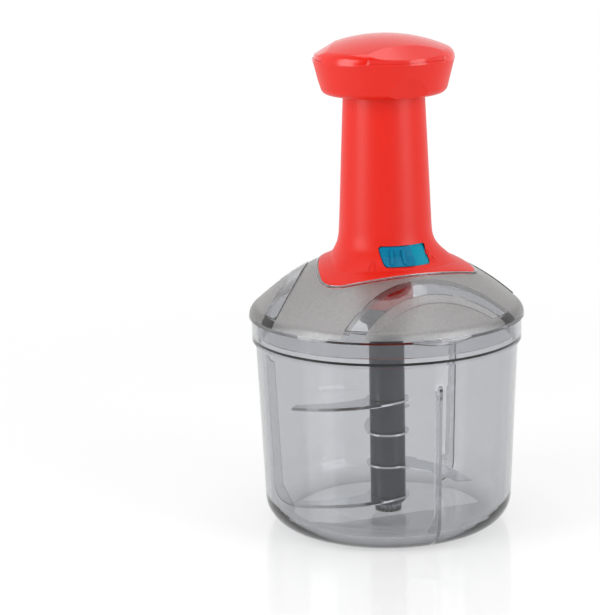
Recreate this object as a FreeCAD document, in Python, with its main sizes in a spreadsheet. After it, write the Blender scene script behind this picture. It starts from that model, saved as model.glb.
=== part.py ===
"""Plunger food chopper: a clear bowl, a domed lid with a column, and a cap that is pressed down.

Units are millimetres. +Z is up, the bowl stands on Z = 0 and its middle is the Z axis. The lock
slider faces -Y. Three-fold features repeat by 120 degrees from there.
"""
import FreeCAD, Part
import Sketcher
import math
import os

from FreeCAD import Placement, Rotation, Vector

SIZES = {
    # Bowl
    "bowl_foot_radius": 46.0,
    "bowl_corner_radius": 13.5,
    "bowl_wall": 2.6,
    "bowl_floor": 4.0,
    "bowl_top_radius": 62.6,
    "collar_radius": 64.4,
    "collar_bottom": 90.0,
    "collar_top": 101.6,
    "collar_bore": 61.7,
    "rib_top": 79.5,
    "rib_depth": 4.5,
    "rib_thick": 1.6,
    "boss_radius": 6.5,
    "boss_top": 7.8,
    "pin_radius": 2.5,
    "pin_top": 28.0,
    # Lid
    "lid_radius": 65.6,
    "lid_seam": 101.8,
    "lid_wall": 2.8,
    "shoulder_radius": 62.5,
    "shoulder_height": 107.1,
    "dome_arc": 116.0,
    "crown_radius": 22.5,
    "crown_height": 131.5,
    "skirt_radius": 61.35,
    "skirt_wall": 2.0,
    "skirt_bottom": 94.5,
    "arch_rise": 0.5,
    "arch_outer_reach": 38.1,
    "arch_outer_arc": 101.2,
    "arch_inner_reach": 46.9,
    "arch_inner_arc": 86.9,
    "arch_border_rise": 0.25,
    "arch_border_reach": 51.1,
    "arch_border_arc": 93.0,
    "lug_arc": 65.3,
    "lug_drop": 1.8,
    "screw_circle": 20.4,
    "screw_radius": 1.6,
    "screw_head_radius": 3.0,
    # Column and its flared foot
    "column_top": 206.2,
    "column_bore": 17.2,
    "lip_bore": 15.4,
    "lip_bottom": 200.0,
    "foot_bottom": 119.0,
    "dome_gap": 0.3,
    # Cap
    "cap_bottom": 207.0,
    "cap_foot_radius": 26.0,
    "cap_edge_radius": 4.2,
    "cap_side_radius": 33.0,
    "cap_split": 222.8,
    "cap_wall": 3.0,
    "cap_apex": 234.5,
    "cap_dome_arc": 74.4,
    "cap_shoulder_radius": 30.2,
    "facet_offset": 25.0,
    "facet_reach": 16.0,
    "facet_top": 235.1,
    "facet_slope": 0.6,
    "ledge_bottom": 223.6,
    "ledge_radius": 32.3,
    "ledge_chord": 26.4,
    "dent_top": 219.0,
    "dent_depth": 3.3,
    # Stem, rod and springs
    "stem_radius": 15.2,
    "stem_bore": 13.2,
    "stem_bottom": 136.0,
    "stem_flange_radius": 16.9,
    "stem_head_bottom": 205.0,
    "stem_head_top": 212.0,
    "rod_wide": 8.0,
    "rod_thick": 2.6,
    "rod_lead": 30.0,
    "rod_bottom": 118.0,
    "rod_top": 212.0,
    "nut_clearance": 0.16,
    "spring_radius": 11.0,
    "spring_wire": 1.6,
    "spring_turns": 9.0,
    "ratchet_spring_radius": 10.35,
    "ratchet_spring_wire": 0.9,
    "ratchet_spring_turns": 3.0,
    # Carrier, drive tube and ratchet
    "carrier_radius": 13.0,
    "carrier_bore": 11.4,
    "carrier_bottom": 102.4,
    "carrier_shoulder": 120.2,
    "carrier_top": 134.0,
    "carrier_flange_radius": 17.8,
    "bearing_bore": 7.88,
    "tube_radius": 7.8,
    "tube_bore": 4.8,
    "tube_top": 182.0,
    "nut_radius": 6.4,
    "nut_length": 10.0,
    "ratchet_radius": 10.6,
    "ratchet_gap": 114.5,
    "tooth_height": 1.5,
    "tooth_count": 8.0,
    "spindle_square": 7.8,
    "spindle_bottom": 99.8,
    "hub_ring_radius": 15.0,
    "hub_ring_bottom": 99.4,
    # Blade unit
    "shaft_radius": 8.5,
    "shaft_bottom": 8.0,
    "blade_level": 11.0,
    "blade_spacing": 16.0,
    "blade_thick": 1.0,
    "blade_root": 1.5,
    "blade_tip": 45.6,
    "blade_tip_back": -17.9,
    "blade_lead_arc": 52.0,
    "bevel_wide": 2.2,
    "bevel_deep": 0.7,
    "blade_hub_radius": 10.4,
    "core_radius": 4.0,
    "core_top": 92.0,
    "flange_radius": 12.8,
    "flange_top": 98.8,
    "flange_thick": 2.5,
    "boss_top_height": 108.0,
    "socket_square": 8.0,
    # Lock slider
    "lock_axis": 2.0,
    "lock_travel": 18.0,
    "slot_left": -12.4,
    "slot_right": 10.8,
    "slot_bottom": 129.6,
    "slot_top": 138.4,
    "slot_corner": 1.4,
    "plate_thick": 1.8,
    "plate_first": -57.0,
    "plate_last": 37.0,
    "thumb_width": 14.4,
}

DOCUMENT = FreeCAD.newDocument("food_chopper")
SHEET = DOCUMENT.addObject("Spreadsheet::Sheet", "Sizes")
NODES = {}
THIRD = 120.0


class Size:
    """A length together with the sheet formula that gives it."""

    def __init__(self, value, text):
        self.value = float(value)
        self.text = text

    def joined(self, sign, other, value):
        return Size(value, "(%s %s %s)" % (self.text, sign, other.text))

    def __add__(self, other):
        other = size_of(other)
        return self.joined("+", other, self.value + other.value)

    def __sub__(self, other):
        other = size_of(other)
        return self.joined("-", other, self.value - other.value)

    def __mul__(self, other):
        other = size_of(other)
        return self.joined("*", other, self.value * other.value)

    def __truediv__(self, other):
        other = size_of(other)
        return self.joined("/", other, self.value / other.value)

    def __neg__(self):
        return Size(-self.value, "(-1 * %s)" % self.text)

    __radd__ = __add__
    __rmul__ = __mul__

    def __rsub__(self, other):
        return size_of(other) - self


def size_of(number):
    """Wraps a plain number, and returns a Size as it is."""
    if isinstance(number, Size):
        return number
    return Size(number, "%.6g" % number)


class Sheet:
    """Gives each driving dimension as an attribute."""

    def __getattr__(self, name):
        return Size(SIZES[name], "Sizes." + name)


D = Sheet()


def fill_sheet():
    """Writes the driving dimensions into the spreadsheet."""
    for row, (name, value) in enumerate(SIZES.items(), start=1):
        SHEET.set("A%d" % row, name)
        SHEET.set("B%d" % row, str(value))
        SHEET.setAlias("B%d" % row, name)
    DOCUMENT.recompute()


def new_body(label):
    """Adds a body that becomes the node of that name."""
    body = DOCUMENT.addObject("PartDesign::Body", label)
    body.Label = label
    NODES[label] = body
    return body


def new_sketch(body, role, shift=(0, 0, 0)):
    """Adds a sketch on one of the body's own origin planes, shifted in the plane's own frame."""
    sketch = body.newObject("Sketcher::SketchObject", body.Name + "_sketch")
    plane = [item for item in body.Origin.OriginFeatures if item.Role == role][0]
    sketch.AttachmentSupport = [(plane, "")]
    sketch.MapMode = "FlatFace"
    moves = [size_of(number) for number in shift]
    sketch.AttachmentOffset = Placement(Vector(*[move.value for move in moves]), Rotation())
    for axis, move in zip("xyz", moves):
        sketch.setExpression(".AttachmentOffset.Base." + axis, move.text)
    return sketch


def arc_between(start, end, radius):
    """Gives the shorter arc from start to end, with its middle on the left for a plus radius."""
    chord = end - start
    half = chord.Length / 2
    reach = math.sqrt(max(radius * radius - half * half, 0.0))
    left = Vector(-chord.y, chord.x, 0).normalize()
    centre = start + chord * 0.5 + left * (reach if radius > 0 else -reach)
    first, last = (start, end) if radius > 0 else (end, start)
    angles = [math.atan2(point.y - centre.y, point.x - centre.x) for point in (first, last)]
    circle = Part.Circle(centre, Vector(0, 0, 1), abs(radius))
    return Part.ArcOfCircle(circle, angles[0], angles[1])


def bind(sketch, constraints, texts):
    """Adds constraints and ties each to its formula."""
    indexes = sketch.addConstraint(constraints)
    for index, text in zip(indexes, texts):
        if text:
            sketch.setExpression("Constraints[%d]" % index, text)


def pin_point(edge, end, across, up):
    """Gives the constraints that hold the end of an edge at a place of the sketch."""
    pairs = []
    for kind, size, axis in (("DistanceX", across, -2), ("DistanceY", up, -1)):
        if abs(size.value) < 1e-9:
            pairs.append((Sketcher.Constraint("PointOnObject", edge, end, axis), ""))
        else:
            rule = Sketcher.Constraint(kind, -1, 1, edge, end, size.value)
            pairs.append((rule, size.text))
    return pairs


def draw(sketch, outline):
    """Draws a closed outline of corners (across, up) or (across, up, radius).

    A radius makes the way to the next corner an arc, which turns left for a plus radius.
    """
    corners = [[size_of(number) for number in corner] for corner in outline]
    points = [Vector(corner[0].value, corner[1].value, 0) for corner in corners]
    first_edge = sketch.GeometryCount
    ends = []
    for index, corner in enumerate(corners):
        start = points[index]
        end = points[(index + 1) % len(points)]
        if len(corner) == 3:
            sketch.addGeometry(arc_between(start, end, corner[2].value))
            ends.append((1, 2) if corner[2].value > 0 else (2, 1))
        else:
            sketch.addGeometry(Part.LineSegment(start, end))
            ends.append((1, 2))
    rules = []
    for index, corner in enumerate(corners):
        edge = first_edge + index
        after = (index + 1) % len(corners)
        meet = ("Coincident", edge, ends[index][1], first_edge + after, ends[after][0])
        rules.append((Sketcher.Constraint(*meet), ""))
        rules += pin_point(edge, ends[index][0], corner[0], corner[1])
        if len(corner) == 3:
            radius = corner[2]
            text = radius.text if radius.value > 0 else (-radius).text
            rules.append((Sketcher.Constraint("Radius", edge, abs(radius.value)), text))
    bind(sketch, [rule for rule, text in rules], [text for rule, text in rules])


def draw_circle(sketch, across, up, radius):
    """Draws a circle round a place of the sketch."""
    across, up, radius = size_of(across), size_of(up), size_of(radius)
    centre = Vector(across.value, up.value, 0)
    edge = sketch.addGeometry(Part.Circle(centre, Vector(0, 0, 1), radius.value))
    rules = pin_point(edge, 3, across, up)
    rules.append((Sketcher.Constraint("Radius", edge, radius.value), radius.text))
    bind(sketch, [rule for rule, text in rules], [text for rule, text in rules])


def feature(body, kind, sketch, **settings):
    """Adds a feature of a sketch and makes it the body's tip."""
    item = body.newObject("PartDesign::" + kind, body.Name + "_" + kind)
    item.Profile = sketch
    for name, value in settings.items():
        if isinstance(value, Size):
            setattr(item, name, value.value)
            item.setExpression(name, value.text)
        else:
            setattr(item, name, value)
    body.Tip = item
    return item


def spin(body, outline, kind="Revolution", role="XZ_Plane", shift=(0, 0, 0)):
    """Turns an outline of (radius, height) corners round the sketch's upright axis."""
    sketch = new_sketch(body, role, shift)
    draw(sketch, outline)
    return feature(body, kind, sketch, ReferenceAxis=(sketch, ["V_Axis"]), Angle=360)


def extrude(body, outline, length, kind="Pad", role="XY_Plane", shift=(0, 0, 0), symmetric=False):
    """Extrudes an outline from its plane, or to both sides of it."""
    sketch = new_sketch(body, role, shift)
    draw(sketch, outline)
    side = "Symmetric" if symmetric else "One side"
    return feature(body, kind, sketch, SideType=side, Length=size_of(length))


def extrude_circle(body, radius, length, kind="Pad", shift=(0, 0, 0), centre=(0, 0)):
    """Extrudes a circle upwards from a height."""
    sketch = new_sketch(body, "XY_Plane", shift)
    draw_circle(sketch, centre[0], centre[1], radius)
    return feature(body, kind, sketch, Length=size_of(length), Reversed=(kind == "Pocket"))


def repeat_round(body, item, count):
    """Repeats a feature round the Z axis."""
    pattern = body.newObject("PartDesign::PolarPattern", body.Name + "_pattern")
    pattern.Originals = [item]
    axis = [part for part in body.Origin.OriginFeatures if part.Role == "Z_Axis"][0]
    pattern.Axis = (axis, [""])
    pattern.Angle = 360
    pattern.Occurrences = count
    body.Tip = pattern
    return pattern


def turned(label, outline):
    """Makes a turned piece of one outline."""
    body = new_body(label)
    spin(body, outline)
    return body


def square_corners(side):
    """Gives the corners of a square about the middle."""
    half = side / 2
    return [(-half, -half), (half, -half), (half, half), (-half, half)]


def solid_of(obj):
    """Gives the one solid of an object's shape."""
    return obj.Shape.Solids[0]


def keep(label, shape, place=None):
    """Keeps a shape as the node of that name."""
    item = DOCUMENT.addObject("Part::Feature", label)
    item.Label = label
    item.Shape = shape
    item.Placement = place or Placement()
    NODES[label] = item
    return item


def wire_of(outline):
    """Gives the closed wire of an outline of (radius, height) corners in the XZ plane."""
    edges = []
    points = [Vector(corner[0], 0, corner[1]) for corner in outline]
    for index, corner in enumerate(outline):
        start, end = points[index], points[(index + 1) % len(points)]
        if len(corner) == 3:
            flat = [Vector(point.x, point.z, 0) for point in (start, end)]
            arc = arc_between(flat[0], flat[1], corner[2])
            middle = arc.value((arc.FirstParameter + arc.LastParameter) / 2)
            edges.append(Part.Arc(start, Vector(middle.x, 0, middle.y), end).toShape())
        else:
            edges.append(Part.makeLine(start, end))
    return Part.Wire(edges)


def sector(outline, first, last, axis_y=0.0):
    """Turns an outline round an upright axis, from one azimuth to another, counted from -Y."""
    face = Part.Face(wire_of(outline))
    face.rotate(Vector(), Vector(0, 0, 1), first - 90.0)
    turned_face = face.revolve(Vector(), Vector(0, 0, 1), last - first)
    turned_face.translate(Vector(0, axis_y, 0))
    return turned_face


def round_about(shape, index):
    """Gives the copy of a shape that belongs to one of the three directions."""
    copy = shape.copy()
    copy.rotate(Vector(), Vector(0, 0, 1), THIRD * index)
    return copy


# Bowl


def make_bowl():
    """Bowl with a rounded foot, a collar at the rim, three ribs, a boss and three rim notches."""
    body = new_body("bowl")
    corner = D.bowl_corner_radius
    inner_corner = 11.0
    inner_foot = D.bowl_foot_radius + corner - D.bowl_wall
    ledge = 1.0
    step = 0.6
    collar_inset = 0.1
    pin_seat = D.bowl_floor - 1.0
    spin(body, [
        (0, 0),
        (D.bowl_foot_radius, 0, corner),
        (D.bowl_foot_radius + corner, corner),
        (D.bowl_top_radius, D.collar_bottom),
        (D.collar_radius - collar_inset, D.collar_bottom + step),
        (D.collar_radius, D.collar_top),
        (D.collar_bore, D.collar_top),
        (D.collar_bore, D.collar_bottom + ledge * 2.5),
        (D.bowl_top_radius - D.bowl_wall, D.collar_bottom + ledge),
        (inner_foot, D.bowl_floor + inner_corner, -inner_corner),
        (inner_foot - inner_corner, D.bowl_floor),
        (D.boss_radius, D.bowl_floor),
        (D.boss_radius, D.boss_top),
        (D.pin_radius, D.boss_top),
        (D.pin_radius, pin_seat),
        (0, pin_seat),
    ])
    edge_top = D.bowl_top_radius - D.bowl_wall - D.rib_depth - 0.4
    edge_low = inner_foot - D.rib_depth
    round_top = 3.0
    # The rib's back stays inside the wall and the rounded foot
    buried = 0.6
    foot_height = 8.5
    rib = extrude(body, [
        (-D.bowl_foot_radius, D.bowl_floor - 1.5),
        (-edge_low + 6.0, pin_seat),
        (-edge_low, D.bowl_floor + inner_corner),
        (-edge_top, D.rib_top - round_top, -round_top),
        (-edge_top - round_top, D.rib_top),
        (-D.bowl_top_radius + buried * 3, D.rib_top),
        (-inner_foot - buried * 2, D.bowl_floor + inner_corner),
        (-inner_foot + buried, foot_height),
        (-D.bowl_foot_radius - 6.0, D.bowl_floor),
    ], D.rib_thick, role="YZ_Plane", symmetric=True)
    repeat_round(body, rib, 3)
    half_notch = 14.9
    clear = 1.0
    depth = 8.5
    notch = extrude(body, [
        (-half_notch, D.collar_top, D.lug_arc),
        (half_notch, D.collar_top),
        (half_notch, D.collar_top + clear),
        (-half_notch, D.collar_top + clear),
    ], depth, kind="Pocket", role="XZ_Plane", shift=(0, 0, D.collar_radius + 2.0))
    repeat_round(body, notch, 3)


def make_pivot_pin():
    """Steel pin that stands in the boss, with a rounded tip."""
    tip = 1.2
    turned("pivot_pin", [
        (0, D.bowl_floor - 1.0),
        (D.pin_radius, D.bowl_floor - 1.0),
        (D.pin_radius, D.pin_top - tip, tip),
        (D.pin_radius - tip, D.pin_top),
        (0, D.pin_top),
    ])


# Lid


def dome_outline(rise):
    """Gives the corners of the dome's upper face, from the shoulder to the crown."""
    return [
        (SIZES["shoulder_radius"] + rise * 0.6, SIZES["shoulder_height"] + rise * 0.8,
         SIZES["dome_arc"] + rise),
        (SIZES["crown_radius"] + rise * 0.4, SIZES["crown_height"] + rise),
    ]


def dome_solid(gap):
    """Gives the space under the dome's upper face, with a gap above it."""
    base = SIZES["foot_bottom"] - 5.0
    under = dome_outline(gap)
    crown = under[1][1]
    face = Part.Face(wire_of([(0, base), (under[0][0] + 6.0, base), under[0], under[1], (0, crown)]))
    return face.revolve(Vector(), Vector(0, 0, 1), 360)


def make_lid_dome():
    """Domed lid with an inner skirt, three raised arches, three rim lugs and screw holes."""
    body = new_body("lid_shell")
    wall = D.lid_wall
    shoulder_arc = 7.0
    skirt_inner = D.skirt_radius - D.skirt_wall
    spin(body, [
        (skirt_inner, D.skirt_bottom),
        (D.skirt_radius, D.skirt_bottom),
        (D.skirt_radius, D.lid_seam),
        (D.lid_radius, D.lid_seam, shoulder_arc),
        (D.shoulder_radius, D.shoulder_height, D.dome_arc),
        (D.crown_radius, D.crown_height),
        (D.carrier_radius + 0.2, D.crown_height),
        (D.carrier_radius + 0.2, D.crown_height - wall),
        (D.crown_radius + 1.2, D.crown_height - wall, -(D.dome_arc - wall)),
        (skirt_inner, D.shoulder_height - wall + 0.8),
    ])
    del NODES["lid_shell"]
    DOCUMENT.recompute()
    shape = solid_of(body)
    arches = []
    for index in range(3):
        arches.append(round_about(arch_band("outer", "inner", SIZES["arch_rise"]), index))
        arches.append(round_about(arch_band("inner", "border", SIZES["arch_border_rise"]), index))
    lugs = [round_about(lug_shape(), index) for index in range(3)]
    shape = shape.fuse(arches + lugs)
    holes = [screw_hole(index) for index in range(3)]
    keep("lid_dome", shape.cut(holes).removeSplitter().Solids[0])


def arch_band(outer, inner, rise):
    """Gives the band between two arcs of one arch, raised a little from the dome."""
    depth = 1.0
    under = dome_outline(-depth)
    over = dome_outline(rise)
    back = under[1] + (depth - SIZES["dome_arc"],)
    skin = Part.Face(wire_of([under[0], over[0], over[1], back]))
    skin = skin.revolve(Vector(), Vector(0, 0, 1), 360)
    rings = []
    for name in (outer, inner):
        arc = SIZES["arch_%s_arc" % name]
        centre = Vector(0, -SIZES["arch_%s_reach" % name] - arc, SIZES["skirt_bottom"])
        rings.append(Part.makeCylinder(arc, 60.0, centre))
    return skin.common(rings[0].cut(rings[1]))


def lug_shape():
    """Gives one lug of the lid's rim, a lens that drops into a notch of the bowl's collar."""
    seam = SIZES["lid_seam"]
    drop = SIZES["lug_drop"] - 0.2
    rim = Part.makeCylinder(SIZES["lid_radius"] - 0.6, 4.0, Vector(0, 0, seam - drop))
    rim = rim.cut(Part.makeCylinder(SIZES["collar_bore"] + 0.2, 4.0, Vector(0, 0, seam - drop)))
    arc = SIZES["lug_arc"]
    disc = Part.makeCylinder(arc, 20.0, Vector(0, -50.0, seam - drop + arc), Vector(0, -1, 0))
    slab = Part.makeBox(40.0, 20.0, drop + 0.4, Vector(-20.0, -70.0, seam - drop))
    return rim.common(disc).common(slab)


def screw_hole(index):
    """Gives the hole of one screw between the lid and the column."""
    hole = Part.makeCylinder(SIZES["screw_radius"], 17.0, Vector(0, SIZES["screw_circle"], 124.0))
    return round_about(hole, index)


def make_lid_screws():
    """Three screws that hold the column on the lid, as one group."""
    under = SIZES["crown_height"] - SIZES["lid_wall"]
    screws = []
    for index in range(3):
        place = Vector(0, SIZES["screw_circle"], under - 2.2)
        head = Part.makeCylinder(SIZES["screw_head_radius"], 2.2, place)
        shank = Part.makeCylinder(SIZES["screw_radius"], 12.0, place)
        slot = Part.makeBox(0.9, 4.0, 1.0, place - Vector(0.45, 2.0, 0))
        cross = Part.makeBox(4.0, 0.9, 1.0, place - Vector(2.0, 0.45, 0))
        screws.append(round_about(head.fuse(shank).cut([slot, cross]), index))
    keep("lid_screws", Part.makeCompound(screws))


# Column with its three-cornered flared foot


def rounded_triangle(middle, front, corner, corner_arc, height):
    """Gives a closed wire of three corner arcs and three side arcs, with a corner towards +Y.

    The side towards -Y has its own distance from the middle, because the slider is in it.
    """
    centre = Vector(corner - corner_arc, 0, height)
    tip = Vector(corner, 0, height)

    def meeting(side_middle, turn):
        """Gives the point where a side's arc runs into the arc of the corner on +X."""
        side = side_middle - corner_arc
        back = (centre.x * centre.x - side * side) / (2 * side - centre.x)
        angle = math.radians(turn * THIRD / 2)
        side_centre = Vector(-back * math.cos(angle), -back * math.sin(angle), height)
        return side_centre + (centre - side_centre).normalize() * (side_middle + back)

    middles = [middle, front, middle]
    edges = []
    for index in range(3):
        turn = Rotation(Vector(0, 0, 1), 90.0 + THIRD * index)
        next_turn = Rotation(Vector(0, 0, 1), 90.0 + THIRD * (index + 1))
        before = turn.multVec(meeting(middles[index - 1], -1))
        after = turn.multVec(meeting(middles[index], 1))
        edges.append(Part.Arc(before, turn.multVec(tip), after).toShape())
        half_turn = Rotation(Vector(0, 0, 1), 90.0 + THIRD * (index + 0.5))
        flat = half_turn.multVec(Vector(middles[index], 0, height))
        edges.append(Part.Arc(after, flat, next_turn.multVec(meeting(middles[index], -1))).toShape())
    return Part.Wire(edges)


def foot_shape():
    """Gives the outer form of the column: a loft from the three-cornered foot to the round top."""
    sections = [
        # middle of a side, of the front side, corner, arc of the corner, height
        (31.6, 44.0, 46.5, 13.0, SIZES["foot_bottom"]),
        (31.2, 41.5, 42.6, 13.5, 122.5),
        (29.0, 35.6, 36.0, 15.0, 126.0),
        (26.5, 28.9, 30.4, 17.0, 130.0),
        (24.2, 24.9, 25.8, 18.0, 134.0),
        (22.65, 22.85, 23.1, 19.0, 138.0),
        (22.05, 22.08, 22.12, 20.0, 142.0),
        (21.8, 21.82, 21.85, 20.0, 146.0),
        (21.62, 21.64, 21.67, 20.0, 150.0),
    ]
    flare = Part.makeLoft([rounded_triangle(*section) for section in sections], True, False)
    top = (19.2, 19.22, 19.25, 18.0, SIZES["column_top"])
    shaft = Part.makeLoft([rounded_triangle(*section) for section in (sections[-1], top)], True, True)
    edge = Part.Face(rounded_triangle(31.0, 33.0, 41.6, 13.3, SIZES["foot_bottom"] - 1.0))
    return flare.fuse(shaft).common(edge.extrude(Vector(0, 0, 100.0)))


def make_housing():
    """Column with the stem's bore, the foot that sits on the dome, and the slot of the slider."""
    outer = foot_shape()
    crown = SIZES["crown_height"]
    dome = dome_solid(SIZES["dome_gap"])
    carrier_top = SIZES["carrier_top"]
    bores = [
        Part.makeCylinder(SIZES["carrier_flange_radius"] + 0.1, carrier_top - crown + 1.0,
                          Vector(0, 0, crown - 1.0)),
        Part.makeCylinder(SIZES["column_bore"], SIZES["lip_bottom"] - crown, Vector(0, 0, crown)),
        Part.makeCylinder(SIZES["lip_bore"], 20.0, Vector(0, 0, SIZES["lip_bottom"] - 5.0)),
    ]
    cuts = [dome, slot_window(), slot_track()] + bores + [screw_hole(index) for index in range(3)]
    keep("plunger_housing", outer.cut(cuts).removeSplitter().Solids[0])


# Lock slider. Its plate turns about an upright axis in front of the column's own


# Radius about that axis and height of the plate's outer face, from its top
LOCK_FACE = [(19.4, 139.6), (20.2, 137.4), (22.7, 133.5), (26.4, 130.0), (28.0, 128.6)]


def band(inward, outward, spare=0.0):
    """Gives the outline of a band along the slider's face, higher at its top by the spare."""
    lean = 0.25
    heights = [height for radius, height in LOCK_FACE]
    heights[0] += spare
    outside = []
    inside = []
    for (radius, height), level_height in zip(LOCK_FACE, heights):
        outside.append((radius + outward, level_height + outward * lean))
        inside.append((radius - inward, level_height - inward * lean))
    return outside + inside[::-1]


def slot_box(gap, left, right):
    """Gives a box in front of the slot, smaller than the slot's height by a gap on both sides."""
    low = SIZES["slot_bottom"] + gap
    high = SIZES["slot_top"] - gap
    box = Part.makeBox(right - left, 28.0, high - low, Vector(left, -40.0, low))
    along = [edge for edge in box.Edges if abs(edge.tangentAt(edge.FirstParameter).y) > 0.9]
    return box.makeFillet(SIZES["slot_corner"], along)


def slot_window():
    """Gives the opening through which the slider shows."""
    behind = [(radius - SIZES["plate_thick"], height) for radius, height in LOCK_FACE]
    top = (behind[0][0], behind[0][1] + 1.0)
    foot = (behind[-1][0], behind[-1][1] - 1.0)
    outline = [(0, top[1]), top] + behind + [foot, (0, foot[1])]
    keep_out = sector(outline, -90, 90, -SIZES["lock_axis"])
    return slot_box(0.0, SIZES["slot_left"], SIZES["slot_right"]).cut(keep_out)


def slot_track():
    """Gives the space in the foot's wall in which the slider's plate moves."""
    room = 0.3
    spare_angle = 1.5
    outline = band(SIZES["plate_thick"] + room, room, 0.5)
    last = SIZES["plate_last"] + SIZES["lock_travel"] + spare_angle
    return sector(outline, SIZES["plate_first"] - spare_angle, last, -SIZES["lock_axis"])


def make_lock_slider():
    """Slider with a curved plate, a raised thumb piece and two ridges to push."""
    axis = -SIZES["lock_axis"]
    shape = sector(band(SIZES["plate_thick"], 0.0), SIZES["plate_first"], SIZES["plate_last"], axis)
    gap = 0.4
    left = SIZES["slot_left"] + gap
    right = left + SIZES["thumb_width"]
    overlap = 0.5
    thumb = sector(band(overlap, 1.2), -50.0, 20.0, axis).common(slot_box(gap, left, right))
    ridges = []
    for angle in (-19.0, -6.0):
        ridge = sector(band(overlap, 2.1), angle - 1.5, angle + 1.5, axis)
        ridges.append(ridge.common(slot_box(1.6, left, right)))
    shape = shape.fuse([thumb] + ridges).cut(dome_solid(0.5)).removeSplitter()
    keep("lock_slider", shape.Solids[0])


# Cap and stem


def make_cap_base():
    """Skirt of the cap with three finger dents."""
    body = new_body("cap_base")
    edge = D.cap_edge_radius
    foot = D.cap_foot_radius
    wall = 2.4
    spigot_seat = 2.6
    spin(body, [
        (D.stem_radius, D.cap_bottom),
        (foot, D.cap_bottom, edge),
        (foot + edge * 0.95, D.cap_bottom + edge * 0.85),
        (D.cap_side_radius, D.cap_split),
        (D.cap_side_radius - wall, D.cap_split),
        (D.cap_side_radius - wall, D.cap_split - spigot_seat),
        (foot - 2.0, D.cap_bottom + wall),
        (D.stem_radius, D.cap_bottom + wall),
    ])
    deep = foot + edge - 0.2 - D.dent_depth
    below = D.cap_bottom - 0.5
    beyond = deep + 20.0
    dent = extrude(body, [
        (-D.cap_side_radius + 0.6, D.dent_top),
        (-deep, below),
        (-beyond, below),
        (-beyond, D.dent_top),
    ], D.cap_side_radius * 2, kind="Pocket", role="YZ_Plane", symmetric=True)
    repeat_round(body, dent, 3)


def make_cap_cover():
    """Domed top of the cap with three lens-shaped facets."""
    body = new_body("cap_cover")
    rim = D.cap_side_radius + 0.2
    wall = D.cap_wall
    spigot = D.cap_side_radius - 2.5
    spigot_foot = D.cap_split - 2.2
    shoulder_height = 228.2
    shoulder_arc = 5.2
    crown = 1.5
    spin(body, [
        (rim, D.cap_split),
        (rim, D.cap_split + 0.6, shoulder_arc),
        (D.cap_shoulder_radius, shoulder_height, D.cap_dome_arc),
        (crown, D.cap_apex),
        (0, D.cap_apex),
        (0, D.cap_apex - wall),
        (crown, D.cap_apex - wall, -(D.cap_dome_arc - wall)),
        (D.cap_shoulder_radius - 2.6, shoulder_height - 3.4),
        (spigot - 1.6, spigot_foot),
        (spigot, spigot_foot),
        (spigot, D.cap_split),
    ])
    offset = D.facet_offset
    width = 20.0
    clear = 10.0
    inner = -(offset + D.facet_reach)
    facet = spin(body, [
        (inner, D.facet_top),
        (inner, D.facet_top + clear),
        (inner - width, D.facet_top + clear),
        (inner - width, D.facet_top - D.facet_slope * width),
    ], kind="Groove", role="YZ_Plane", shift=(offset, 0, 0))
    repeat_round(body, facet, 3)
    half = math.sqrt(SIZES["ledge_radius"] ** 2 - SIZES["ledge_chord"] ** 2)
    chord = -D.ledge_chord
    ledge = extrude(body, [
        (-half, chord, D.ledge_radius),
        (half, chord),
        (half + clear, chord),
        (half + clear, chord - clear),
        (-half - clear, chord - clear),
        (-half - clear, chord),
    ], 2.2, kind="Pocket", shift=(0, 0, D.ledge_bottom))
    ledge.Reversed = True
    repeat_round(body, ledge, 3)


def make_stem():
    """Tube under the cap, with a stop flange at its foot and a head that holds the rod."""
    flange = D.stem_flange_radius
    head = 20.0
    seat = D.cap_bottom + 2.4
    rod_hole = 4.3
    turned("plunger_stem", [
        (D.stem_bore, D.stem_bottom),
        (flange, D.stem_bottom),
        (flange, D.stem_bottom + 2.4),
        (D.stem_radius, D.stem_bottom + 3.7),
        (D.stem_radius, seat),
        (head, seat),
        (head, D.stem_head_top),
        (rod_hole, D.stem_head_top),
        (rod_hole, D.stem_head_bottom),
        (D.stem_bore, D.stem_head_bottom),
    ])


def twisted_bar(wide, thick, low, high):
    """Gives a flat bar with a right-hand twist, whose turn is zero at Z = 0."""
    lead = SIZES["rod_lead"]
    turn = 360.0 * low / lead
    half_wide, half_thick = wide / 2, thick / 2
    corners = [Vector(x, y, low) for x, y in ((-half_wide, -half_thick), (half_wide, -half_thick),
                                              (half_wide, half_thick), (-half_wide, half_thick))]
    section = Part.makePolygon(corners + corners[:1])
    section.rotate(Vector(), Vector(0, 0, 1), turn)
    spine = Part.Wire(Part.makeLine(Vector(0, 0, low), Vector(0, 0, high)))
    guide = Part.makeHelix(lead, high - low, wide)
    guide.rotate(Vector(), Vector(0, 0, 1), turn)
    guide.translate(Vector(0, 0, low))
    shell = Part.BRepOffsetAPI.MakePipeShell(spine)
    shell.setAuxiliarySpine(Part.Wire(guide), True, 0)
    shell.add(section)
    shell.build()
    shell.makeSolid()
    return shell.shape()


def make_rod():
    """Twisted bar that hangs in the stem, and the screw head that holds it."""
    bar = twisted_bar(SIZES["rod_wide"], SIZES["rod_thick"], SIZES["rod_bottom"], SIZES["rod_top"])
    keep("twisted_rod", bar)
    top = D.rod_top
    head = size_of(6.0)
    thick = 3.0
    turned("rod_screw", [
        (0, top),
        (head, top),
        (head, top + 1.4, 2.0),
        (head * 0.7, top + thick),
        (0, top + thick),
    ])


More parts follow.
